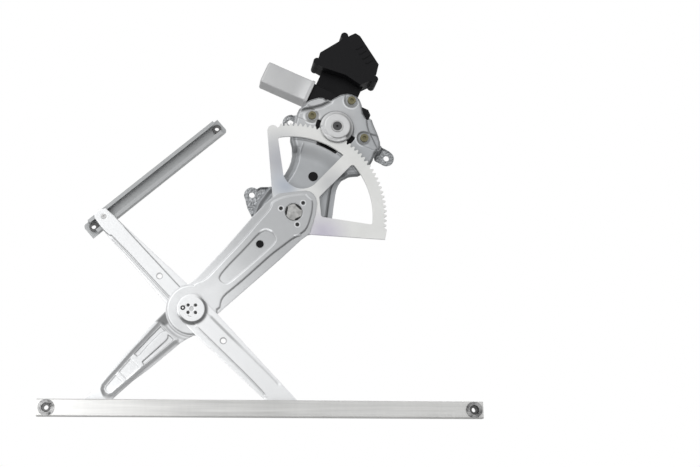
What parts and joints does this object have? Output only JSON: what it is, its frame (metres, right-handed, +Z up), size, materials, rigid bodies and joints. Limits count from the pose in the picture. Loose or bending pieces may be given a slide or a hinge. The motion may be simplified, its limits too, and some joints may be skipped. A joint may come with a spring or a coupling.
{
  "type": "window regulator",
  "caption": "Power window regulator: geared motor and sector gear swing a lift arm, crossed by a second arm, whose rollers raise a slotted glass rail.",
  "frame": {"origin": "centre of the bolt hole in the lower left mounting tab, on the tab's face that lies on the door panel", "axes": "+X along the glass rail towards its right end, +Z up across the mechanism, +Y away from the glass side, into the door panel"},
  "size_m": [0.479, 0.065, 0.4547],
  "materials": {
    "galvanised": "zinc-plated pressed steel, satin",
    "bright_steel": "plated steel, fine rolled surface",
    "rail_steel": "rolled galvanised strip",
    "pin_steel": "turned steel",
    "can_steel": "drawn zinc-plated can",
    "screw_steel": "yellow-passivated steel",
    "gear_steel": "sintered steel",
    "black_plastic": "moulded, fine grain",
    "lid_plastic": "moulded, fine grain",
    "roller_plastic": "low-friction moulded",
    "wheel_plastic": "low-friction moulded",
    "bronze": "sintered bush",
    "copper": "enamelled wire",
    "laminations": "stacked sheet",
    "magnet": "sintered ferrite",
    "carbon": "pressed carbon",
    "board": "lacquered board",
    "tinned": "tinned contact"
  },
  "bodies": {
    "motor_and_plate": {"base_plate": "galvanised", "base_plug": "black_plastic", "pivot_pin": "pin_steel", "pivot_spacer": "roller_plastic", "pinion_bush": "pin_steel", "motor_screws": "screw_steel", "gear_housing": "black_plastic", "gear_housing_cover": "lid_plastic", "housing_bearings": "bronze", "motor_can": "can_steel", "field_magnets": "magnet", "rear_bearing": "bronze", "brush_holder": "black_plastic", "carbon_brushes": "carbon", "module_case": "black_plastic", "module_cover": "lid_plastic", "circuit_board": "board", "relays": "black_plastic", "connector_terminals": "tinned"},
    "lift_arm_and_sector": {"sector_gear": "bright_steel", "lift_arm": "bright_steel", "sector_rivets": "pin_steel", "arm_plug": "black_plastic", "lift_arm_stud": "pin_steel"},
    "output_gear": {"pinion_shaft": "gear_steel", "worm_wheel": "wheel_plastic", "shaft_clip": "pin_steel"},
    "armature": {"armature_shaft": "pin_steel", "armature_core": "laminations", "armature_windings": "copper", "commutator": "copper"},
    "crossing_arm": {"cross_arm_front": "bright_steel", "cross_arm_rear": "galvanised", "centre_hub": "pin_steel", "hub_rivets": "pin_steel", "arm_washers": "roller_plastic", "cross_arm_stud": "pin_steel", "short_arm_stud": "pin_steel"},
    "left_roller": {"left_glass_roller": "roller_plastic"},
    "glass_rail": {"lift_rail": "rail_steel", "nut_cups": "pin_steel", "glass_nuts": "pin_steel"},
    "right_roller": {"right_glass_roller": "roller_plastic"},
    "equaliser_roller": {"short_rail_roller": "roller_plastic"},
    "equaliser_rail": {"short_rail": "rail_steel", "short_rail_nuts": "pin_steel"}
  },
  "joints": [
    {"name": "lift_swing", "type": "hinge", "parent": "motor_and_plate", "child": "lift_arm_and_sector", "pos_m": [0.0462, -0.0175, -0.0244], "axis": [0, -1, 0], "range_deg": [-31, 66]},
    {"name": "pinion_spin", "type": "hinge", "parent": "motor_and_plate", "child": "output_gear", "pos_m": [0.09742, -0.002, 0.07879], "axis": [0, -1, 0], "range_deg": [-703, 331]},
    {"name": "motor_spin", "type": "hinge", "parent": "motor_and_plate", "child": "armature", "pos_m": [0.10905, -0.002, 0.10491], "axis": [0.9135, 0, -0.4067], "range_deg": [-51260, 24100]},
    {"name": "scissor", "type": "hinge", "parent": "lift_arm_and_sector", "child": "crossing_arm", "pos_m": [-0.06728, -0.02, -0.13748], "axis": [0, -1, 0], "range_deg": [0, 180]},
    {"name": "glass_rail_tilt", "type": "hinge", "parent": "lift_arm_and_sector", "child": "left_roller", "pos_m": [-0.17034, -0.0315, -0.24647], "axis": [0, -1, 0], "range_deg": [0, 90]},
    {"name": "glass_rail_slide", "type": "slide", "parent": "left_roller", "child": "glass_rail", "axis": [1, 0, 0], "range_m": [-0.095, 0.034]},
    {"name": "right_roller_spin", "type": "hinge", "parent": "crossing_arm", "child": "right_roller", "pos_m": [0.03579, -0.0315, -0.24647], "axis": [0, -1, 0], "continuous": true},
    {"name": "equaliser_tilt", "type": "hinge", "parent": "crossing_arm", "child": "equaliser_roller", "pos_m": [-0.16727, -0.008, -0.03248], "axis": [0, -1, 0], "range_deg": [-66, 31]},
    {"name": "equaliser_slide", "type": "slide", "parent": "equaliser_roller", "child": "equaliser_rail", "axis": [0.7559, 0, 0.6547], "range_m": [-0.15, 0]}
  ],
  "couplings": [
    {"joint": "pinion_spin", "follows": "lift_swing", "ratio": -10.636},
    {"joint": "motor_spin", "follows": "lift_swing", "ratio": -776.45},
    {"joint": "glass_rail_tilt", "follows": "scissor", "ratio": 0.5},
    {"joint": "equaliser_tilt", "follows": "lift_swing", "ratio": -1}
  ]
}
